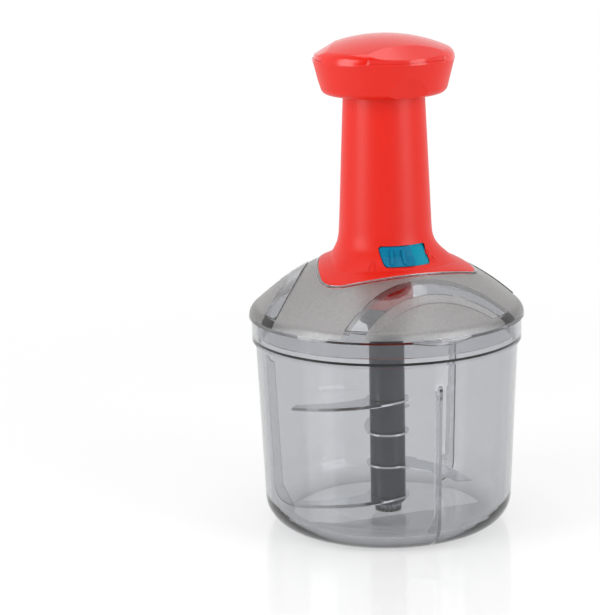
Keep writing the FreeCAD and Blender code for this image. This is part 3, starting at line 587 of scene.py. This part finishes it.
@dataclass
class SubAssembly:
    """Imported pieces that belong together, with their finishes."""

    finishes: dict[Finish, tuple[str, ...]]
    sharp_deg: float = 32.0

    def build(self, materials: Materials) -> None:
        """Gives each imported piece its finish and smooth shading.

        Args:
            materials: The materials by finish.
        """
        for finish, nodes in self.finishes.items():
            for name in nodes:
                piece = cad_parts[name]
                piece.data.materials.clear()
                piece.data.materials.append(materials[finish])
                smooth(piece, self.sharp_deg)
                LOG.info("%s dressed in %s", name, materials[finish].name)


@dataclass
class Bowl(SubAssembly):
    """The clear bowl with its steel pivot pin."""

    finishes: dict[Finish, tuple[str, ...]] = field(default_factory=lambda: {
        Finish.BOWL: ("bowl",), Finish.STEEL: ("pivot_pin",)})


@dataclass
class Lid(SubAssembly):
    """The smoky lid and its three screws."""

    finishes: dict[Finish, tuple[str, ...]] = field(default_factory=lambda: {
        Finish.LID: ("lid_dome",), Finish.STEEL: ("lid_screws",)})


@dataclass(frozen=True)
class FootOutline:
    """The outline of the column's three-cornered foot, in millimetres from the column's axis."""

    front: float = 33.9
    side: float = 31.4
    corner: float = 42.0
    corner_arc: float = 13.3

    def radius(self, azimuth: float) -> float:
        """Gives how far the outline is from the axis.

        Each side is an arc with its centre beyond the axis, and runs into the arcs of both
        corners without a bend.

        Args:
            azimuth: The direction, in degrees from -Y.

        Returns:
            The distance, in millimetres.
        """
        third = round(azimuth / THIRD_DEG)
        turn = math.radians(azimuth - THIRD_DEG * third)
        to_corner = math.radians(THIRD_DEG / 2)
        middle = self.front if third % 3 == 0 else self.side
        corner = self.corner - self.corner_arc
        side = middle - self.corner_arc
        back = (corner * corner - side * side) / (2 * side - corner)
        reach = middle + back
        meeting = Vector((corner * math.cos(to_corner) + back, corner * math.sin(to_corner)))
        meeting = meeting.normalized() * reach - Vector((back, 0))
        if abs(turn) <= math.atan2(meeting.y, meeting.x):
            return math.sqrt(reach ** 2 - (back * math.sin(turn)) ** 2) - back * math.cos(turn)
        from_corner = to_corner - abs(turn)
        across = corner * math.sin(from_corner)
        return corner * math.cos(from_corner) + math.sqrt(self.corner_arc ** 2 - across ** 2)


@dataclass(frozen=True)
class FootTrim:
    """The foot's thin edge on the dome and the lid's frame round it, in millimetres.

    The edge's outer corner is rounded, and the frame's two upper ones are bevelled.
    """

    outline: FootOutline = FootOutline()
    steps: int = 240
    sharp_deg: float = 50.0
    clearance: float = 0.02
    edge_inner: float = 25.0
    edge_inner_front: float = 31.6
    edge_widest: float = 10.0
    edge_rise: float = 0.6
    edge_inner_rise: float = 0.3
    edge_parts: int = 6
    edge_round: float = 0.4
    edge_round_in: float = 0.12
    edge_round_down: float = 0.08
    edge_round_deep: float = 0.3
    frame_gap: float = 0.2
    frame_wide: float = 1.3
    frame_rise: float = 0.55
    frame_shoulder: float = 0.6
    frame_near_bevel: float = 0.15
    frame_far_bevel: float = 0.6
    frame_far_toe: float = 0.2
    # Where the rays that find the dome start
    above_dome: float = 200.0

    def edge_section(self, azimuth: float) -> Section:
        """Gives the section of the foot's edge.

        Args:
            azimuth: The direction, in degrees from -Y.

        Returns:
            The section's corners.
        """
        out, rise = self.outline.radius(azimuth), self.edge_rise
        in_front = abs((azimuth + 180) % 360 - 180) < THIRD_DEG / 2
        inner = max(self.edge_inner_front if in_front else self.edge_inner,
                    out - self.edge_widest)
        top = out - self.edge_round - inner
        return [(inner, self.edge_inner_rise),
                *((inner + top * part / self.edge_parts, rise)
                  for part in range(1, self.edge_parts + 1)),
                (out - self.edge_round_in, rise - self.edge_round_down),
                (out, rise - self.edge_round_deep), (out, self.clearance),
                (inner, self.clearance)]

    def frame_section(self, azimuth: float) -> Section:
        """Gives the section of the lid's frame.

        Args:
            azimuth: The direction, in degrees from -Y.

        Returns:
            The section's corners.
        """
        near = self.outline.radius(azimuth) + self.frame_gap
        far, rise = near + self.frame_wide, self.frame_rise
        shoulder = rise * self.frame_shoulder
        return [(near, self.clearance), (near, shoulder), (near + self.frame_near_bevel, rise),
                (far - self.frame_far_bevel, rise), (far - self.frame_far_toe, shoulder),
                (far, self.clearance)]

    def build(self, name: str, section: Callable[[float], Section],
              dome: BVHTree) -> bpy.types.Object:
        """Makes the edge or the frame as a closed ring on the dome.

        Args:
            name: The piece's name.
            section: Gives its section at an azimuth.
            dome: The surface of the lid.

        Returns:
            The new object.
        """
        work = bmesh.new()
        rings = []
        for step in range(self.steps):
            azimuth = 360.0 * step / self.steps
            rings.append([work.verts.new(self.on_dome(azimuth, *corner, dome))
                          for corner in section(azimuth)])
        join_rings(work, rings, closed=True)
        bmesh.ops.recalc_face_normals(work, faces=work.faces)
        return to_object(work, name)

    def on_dome(self, azimuth: float, radius: float, rise: float, dome: BVHTree) -> Vector:
        """Gives a place over the dome.

        Args:
            azimuth: The direction, in degrees from -Y.
            radius: The distance from the axis, in millimetres.
            rise: The height over the dome, in millimetres.
            dome: The surface of the lid.

        Returns:
            The place, in metres.
        """
        angle = math.radians(azimuth - 90)
        start = Vector((math.cos(angle) * radius, math.sin(angle) * radius, self.above_dome)) * MM
        place, _, _, _ = dome.ray_cast(start, Vector((0, 0, -1)))
        return place + Vector((0, 0, rise * MM))


@dataclass(frozen=True)
class Padlock:
    """A padlock sign of raised lines on the foot: a case and a shackle, in millimetres."""

    name: str
    # In degrees from -Y, and the height of the case's middle
    azimuth: float
    height: float
    shackle_lift: float
    wide: float = 3.0
    tall: float = 2.2
    corner: float = 0.5
    corner_step_deg: int = 30
    shackle: float = 0.95
    shackle_leg: float = 0.5
    shackle_step_deg: int = 20
    line_wide: float = 0.42
    line_top_share: float = 0.5
    line_rise: float = 0.22
    line_root: float = -0.15
    step: float = 0.2
    sharp_deg: float = 60.0
    foot_radius: float = 33.0
    # Where the rays that find the foot start, from the column's axis
    beyond_foot: float = 90.0

    def build(self, foot: BVHTree) -> bpy.types.Object:
        """Makes the padlock as closed bars that follow the foot's surface.

        Args:
            foot: The surface of the column.

        Returns:
            The new object.
        """
        work = bmesh.new()
        for line, closed in ((self.case(), True), (self.bow(), False)):
            join_rings(work, self.bar(work, line, closed, foot), closed)
        bmesh.ops.recalc_face_normals(work, faces=work.faces)
        return to_object(work, self.name)

    def case(self) -> list[Vector]:
        """Gives the outline of the case.

        Returns:
            Its points across and up from the case's middle.
        """
        half, top = self.wide / 2, self.tall / 2
        points = []
        for across, up, first in ((half, top, 0), (-half, top, 90), (-half, -top, 180),
                                  (half, -top, 270)):
            middle = Vector((across - math.copysign(self.corner, across),
                             up - math.copysign(self.corner, up)))
            for turn in range(0, 91, self.corner_step_deg):
                angle = math.radians(first + turn)
                points.append(middle + Vector((math.cos(angle), math.sin(angle))) * self.corner)
        return self.divided(points, True)

    def bow(self) -> list[Vector]:
        """Gives the line of the shackle, whose right leg is out of the case when it is lifted.

        Returns:
            Its points across and up from the case's middle.
        """
        foot = self.tall / 2 + self.line_wide / 2
        bend = foot + self.shackle_leg + self.shackle_lift
        points = [Vector((self.shackle, foot + self.shackle_lift)), Vector((self.shackle, bend))]
        for turn in range(self.shackle_step_deg, 180, self.shackle_step_deg):
            angle = math.radians(turn)
            points.append(Vector((math.cos(angle) * self.shackle,
                                  bend + math.sin(angle) * self.shackle)))
        points += [Vector((-self.shackle, bend)), Vector((-self.shackle, foot))]
        return self.divided(points, False)

    def divided(self, corners: list[Vector], closed: bool) -> list[Vector]:
        """Divides a line, so that its bar can follow the foot.

        Args:
            corners: The line's corners.
            closed: Whether the line ends where it starts.

        Returns:
            Points at most a step apart.
        """
        points = []
        ends = corners + corners[:1] if closed else corners
        for start, end in zip(ends, ends[1:]):
            parts = max(1, math.ceil((end - start).length / self.step))
            points += [start.lerp(end, part / parts) for part in range(parts)]
        return points if closed else points + [ends[-1]]

    def bar(self, work: bmesh.types.BMesh, line: list[Vector], closed: bool,
            foot: BVHTree) -> list[list[bmesh.types.BMVert]]:
        """Adds the corners of a bar along a line.

        Args:
            work: The mesh under work.
            line: The line's points.
            closed: Whether the line ends where it starts.
            foot: The surface of the column.

        Returns:
            The corners of the bar's sections.
        """
        half = self.line_wide / 2
        top = half * self.line_top_share
        profile = [(-half, self.line_root), (-half, 0.0), (-top, self.line_rise),
                   (top, self.line_rise), (half, 0.0), (half, self.line_root)]
        rings = []
        for index, point in enumerate(line):
            before = line[index - 1] if closed or index else point
            after = line[(index + 1) % len(line)] if closed or index + 1 < len(line) else point
            way = (after - before).normalized()
            side = Vector((way.y, -way.x))
            ring = []
            for across, up in profile:
                place, normal = self.on_foot(point + side * across, foot)
                ring.append(work.verts.new(place + normal * up * MM))
            rings.append(ring)
        return rings

    def on_foot(self, point: Vector, foot: BVHTree) -> tuple[Vector, Vector]:
        """Finds a point of the sign on the foot.

        Args:
            point: The point across and up from the case's middle.
            foot: The surface of the column.

        Returns:
            The place in metres, and the foot's outward direction there.
        """
        angle = math.radians(self.azimuth - 90) + point.x / self.foot_radius
        out = Vector((math.cos(angle), math.sin(angle), 0))
        start = out * self.beyond_foot * MM + Vector((0, 0, (self.height + point.y) * MM))
        place, normal, _, _ = foot.ray_cast(start, -out)
        return place, normal


@dataclass
class Column(SubAssembly):
    """The red column, with its foot's trim and a closed and an open padlock beside the slot."""

    finishes: dict[Finish, tuple[str, ...]] = field(default_factory=lambda: {
        Finish.COLUMN: ("plunger_housing", "bearing_carrier")})
    body: str = "lid"
    trim: FootTrim = FootTrim()
    padlocks: tuple[Padlock, ...] = (Padlock("padlock_closed", -36.0, 129.3, shackle_lift=0.0),
                                     Padlock("padlock_open", 27.0, 131.4, shackle_lift=0.8))

    def build(self, materials: Materials) -> None:
        """Dresses the column, and adds its foot's edge, the frame round it and the padlocks.

        Args:
            materials: The materials by finish.
        """
        super().build(materials)
        dome = surface_of("lid_dome")
        for name, section, finish in (("foot_edge", self.trim.edge_section, Finish.COLUMN),
                                      ("foot_frame", self.trim.frame_section, Finish.LID_FRAME)):
            piece = self.trim.build(name, section, dome)
            self.fit(piece, finish, self.trim.sharp_deg, materials)
        foot = surface_of("plunger_housing")
        for padlock in self.padlocks:
            self.fit(padlock.build(foot), Finish.COLUMN, padlock.sharp_deg, materials)

    def fit(self, piece: bpy.types.Object, finish: Finish, sharp_deg: float,
            materials: Materials) -> None:
        """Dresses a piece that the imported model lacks, and makes it ride on the lid.

        Args:
            piece: The piece.
            finish: Its finish.
            sharp_deg: The angle between two faces from which their edge is sharp.
            materials: The materials by finish.
        """
        piece.data.materials.append(materials[finish])
        smooth(piece, sharp_deg)
        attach(piece, self.body)
        LOG.info("%s added in %s", piece.name, materials[finish].name)


@dataclass
class LockSlider(SubAssembly):
    """The blue slider that holds the cap down."""

    finishes: dict[Finish, tuple[str, ...]] = field(default_factory=lambda: {
        Finish.LOCK: ("lock_slider",)})


@dataclass
class PressCap(SubAssembly):
    """The cap with its stem, its twisted rod and the spring that lifts it."""

    finishes: dict[Finish, tuple[str, ...]] = field(default_factory=lambda: {
        Finish.COLUMN: ("plunger_stem", "cap_base"), Finish.CAP: ("cap_cover",),
        Finish.STEEL: ("twisted_rod", "rod_screw", "return_spring")})
    ridge_deg: float = 7.0

    def build(self, materials: Materials) -> None:
        """Dresses the cap's pieces, and keeps the ridges round the cover's facets crisp.

        Args:
            materials: The materials by finish.
        """
        super().build(materials)
        smooth(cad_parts["cap_cover"], self.ridge_deg)


@dataclass
class Drive(SubAssembly):
    """The tube, nut and ratchet that turn the blades, with the washer and ring they run in."""

    finishes: dict[Finish, tuple[str, ...]] = field(default_factory=lambda: {
        Finish.NYLON: ("drive_tube", "drive_nut", "ratchet_spindle"),
        Finish.STEEL: ("thrust_washer", "ratchet_spring"), Finish.SHAFT: ("hub_ring",)})


@dataclass
class BladeUnit(SubAssembly):
    """The shaft with its four blades, whose ground bevels stay crisp."""

    finishes: dict[Finish, tuple[str, ...]] = field(default_factory=lambda: {
        Finish.SHAFT: ("blade_sleeve", "spacer_1", "spacer_2", "spacer_3", "shaft_foot"),
        Finish.BLADE: ("blade_1", "blade_2", "blade_3", "blade_4"),
        Finish.STEEL: ("core_tube",)})
    sharp_deg: float = 14.0


@dataclass
class Photographer:
    """The camera where the photograph was taken from, worked out from the object's outlines.

    The angles are in radians, apart from the turn round the object.
    """

    focal_px: float = 2149.95
    distance_mm: float = 1000.0
    height_mm: float = 336.87
    yaw: float = 0.0411087
    pitch: float = 0.2281205
    roll: float = -0.0206153
    turn_deg: float = -24.0
    nearest_m: float = 0.01

    def build(self) -> bpy.types.Object:
        """Places the camera and makes it the scene's camera.

        Returns:
            The camera.
        """
        level = Vector((-math.sin(self.yaw), math.cos(self.yaw), 0))
        across = Vector((math.cos(self.yaw), math.sin(self.yaw), 0))
        up = Vector((0, 0, 1))
        ahead = level * math.cos(self.pitch) - up * math.sin(self.pitch)
        top = up * math.cos(self.pitch) + level * math.sin(self.pitch)
        side = across * math.cos(self.roll) + top * math.sin(self.roll)
        head = top * math.cos(self.roll) - across * math.sin(self.roll)
        turn = Matrix.Rotation(math.radians(self.turn_deg), 4, "Z")
        place = Matrix.Identity(4)
        for column, way in enumerate((side, head, -ahead)):
            for row in range(3):
                place[row][column] = way[row]
        place.translation = Vector((0, -self.distance_mm, self.height_mm)) * MM
        data = bpy.data.cameras.new("camera")
        data.sensor_fit = "VERTICAL"
        data.sensor_height = SENSOR_MM
        data.lens = self.focal_px / PHOTO_HEIGHT_PX * SENSOR_MM
        data.clip_start = self.nearest_m
        camera = bpy.data.objects.new("camera", data)
        camera.matrix_world = turn @ place
        bpy.context.scene.collection.objects.link(camera)
        bpy.context.scene.camera = camera
        return camera


@dataclass(frozen=True)
class Softbox:
    """A soft rectangular lamp that looks at the object, in metres and watts."""

    name: str
    # In degrees from the camera's side
    azimuth: float
    height: float
    distance: float
    wide: float
    tall: float
    watts: float
    aim_height: float = 0.12

    def build(self) -> bpy.types.Object:
        """Places the lamp.

        Returns:
            The lamp.
        """
        angle = math.radians(self.azimuth - 90 + Photographer.turn_deg)
        place = Vector((math.cos(angle) * self.distance, math.sin(angle) * self.distance,
                        self.height))
        data = bpy.data.lights.new(self.name, "AREA")
        data.shape = "RECTANGLE"
        data.size = self.wide
        data.size_y = self.tall
        data.energy = self.watts
        lamp = bpy.data.objects.new(self.name, data)
        lamp.location = place
        aim = Vector((0, 0, self.aim_height)) - place
        lamp.rotation_euler = aim.to_track_quat("-Z", "Y").to_euler()
        bpy.context.scene.collection.objects.link(lamp)
        return lamp


@dataclass
class Studio:
    """A white table that runs out of view, a white room and soft lamps. Lengths are in metres."""

    table_size: float = 12.0
    table_parts: int = 8
    table_white: str = "#F7F7F7"
    table_shade: float = 0.42
    table_spare: float = 0.08
    table_near: float = 0.12
    table_far: float = 0.5
    table_gloss: float = 0.08
    table_index: float = 1.8
    room_level: float = 0.5
    room_front: float = 0.2
    room_front_rise: float = 0.6
    room_side_cosine: float = 0.1
    room_front_cosine: float = 0.85
    lamps: tuple[Softbox, ...] = (
        Softbox("left_softbox", -62.0, height=0.45, distance=0.95, wide=0.5, tall=0.9, watts=6.3),
        Softbox("right_softbox", 58.0, height=0.45, distance=0.95, wide=0.5, tall=0.9, watts=5.4),
        Softbox("top_softbox", 180.0, height=1.25, distance=0.1, wide=0.8, tall=0.7, watts=3.5),
    )

    def build(self) -> None:
        """Builds the table, the room's light and the lamps."""
        self.build_table()
        self.build_room()
        for lamp in self.lamps:
            lamp.build()
        bpy.context.scene.view_settings.view_transform = "Standard"

    def seen_by(self, tree: Tree, *rays: str) -> Socket:
        """Tells rays of the kinds named from the rest.

        Args:
            tree: The node tree.
            rays: The Light Path node's names of the kinds.

        Returns:
            The socket that is 1 for these rays, and 0 for the rest.
        """
        path = add_node(tree, "ShaderNodeLightPath")
        seen = path.outputs[rays[0]]
        for name in rays[1:]:
            seen = add_node(tree, "ShaderNodeMath", {0: seen, 1: path.outputs[name]},
                            operation="MAXIMUM").outputs["Value"]
        return seen

    def build_table(self) -> None:
        """Builds the glossy table."""
        work = bmesh.new()
        bmesh.ops.create_grid(work, x_segments=self.table_parts, y_segments=self.table_parts,
                              size=self.table_size / 2)
        table = to_object(work, "table")
        table.data.materials.append(self.table_acrylic())

    def table_acrylic(self) -> bpy.types.Material:
        """Builds white acrylic: it keeps shadows near the object and is plain white far off.

        Returns:
            The material.
        """
        material, tree = new_material("white_acrylic_table")
        place = add_node(tree, "ShaderNodeTexCoord").outputs["Object"]
        away = add_node(tree, "ShaderNodeVectorMath", {0: place}, operation="LENGTH")
        far = add_node(tree, "ShaderNodeMapRange", {
            "Value": away.outputs["Value"], "From Min": self.table_near,
            "From Max": self.table_far}).outputs["Result"]
        matt = add_node(tree, "ShaderNodeBsdfDiffuse", {"Color": linear(self.table_white)})
        # Where the table is seen, shadows dim only a share of its white
        shade = self.table_shade
        dim = add_node(tree, "ShaderNodeBsdfDiffuse", {"Color": (shade, shade, shade, 1)})
        glow = add_node(tree, "ShaderNodeEmission", {"Strength": 1 - shade + self.table_spare})
        lit = add_node(tree, "ShaderNodeAddShader", {0: dim.outputs[0], 1: glow.outputs[0]})
        gloss = add_node(tree, "ShaderNodeBsdfGlossy", {"Roughness": self.table_gloss})
        edge = add_node(tree, "ShaderNodeFresnel", {"IOR": self.table_index})
        near = add_node(tree, "ShaderNodeMixShader", {
            0: edge.outputs[0], 1: lit.outputs[0], 2: gloss.outputs[0]})
        white = add_node(tree, "ShaderNodeEmission", {"Strength": 1.0})
        whole = add_node(tree, "ShaderNodeMixShader", {
            0: far, 1: near.outputs[0], 2: white.outputs[0]})
        seen = self.seen_by(tree, "Is Camera Ray", "Is Glossy Ray", "Is Transmission Ray")
        mix = add_node(tree, "ShaderNodeMixShader", {
            0: seen, 1: matt.outputs[0], 2: whole.outputs[0]})
        add_node(tree, "ShaderNodeOutputMaterial", {"Surface": mix.outputs[0]})
        return material

    def build_room(self) -> None:
        """Builds the white room: full white where it is seen, softer as a light.

        In reflections it is darker on the side where the photographer stood, as a studio is.
        """
        world = bpy.data.worlds.new("room")
        world.use_nodes = True
        tree = world.node_tree
        tree.nodes.clear()
        way = add_node(tree, "ShaderNodeTexCoord").outputs["Generated"]
        angle = math.radians(Photographer.turn_deg - 90)
        front = Vector((math.cos(angle), math.sin(angle), self.room_front_rise)).normalized()
        facing = add_node(tree, "ShaderNodeVectorMath", {0: way, 1: front},
                          operation="DOT_PRODUCT")
        mirrored = add_node(tree, "ShaderNodeMapRange", {
            "Value": facing.outputs["Value"], "From Min": self.room_side_cosine,
            "From Max": self.room_front_cosine, "To Min": 1.0, "To Max": self.room_front})
        indirect = add_node(tree, "ShaderNodeMix", {
            "Factor": self.seen_by(tree, "Is Glossy Ray"), NUMBER_A: self.room_level,
            NUMBER_B: mirrored.outputs["Result"]}, data_type="FLOAT")
        strength = add_node(tree, "ShaderNodeMix", {
            "Factor": self.seen_by(tree, "Is Camera Ray", "Is Transmission Ray"),
            NUMBER_A: indirect.outputs[NUMBER_OUT], NUMBER_B: 1.0}, data_type="FLOAT")
        glow = add_node(tree, "ShaderNodeBackground", {
            "Color": (1, 1, 1, 1), "Strength": strength.outputs[NUMBER_OUT]})
        add_node(tree, "ShaderNodeOutputWorld", {"Surface": glow.outputs[0]})
        bpy.context.scene.world = world


def main() -> None:
    """Builds the camera, the studio and the pieces in order."""
    logging.basicConfig(level=logging.INFO)
    Photographer().build()
    Studio().build()
    materials = {finish: maker.build() for finish, maker in FINISHES.items()}
    for part in (Bowl(), Lid(), Column(), LockSlider(), PressCap(), Drive(), BladeUnit()):
        part.build(materials)


if __name__ == "__main__":
    main()
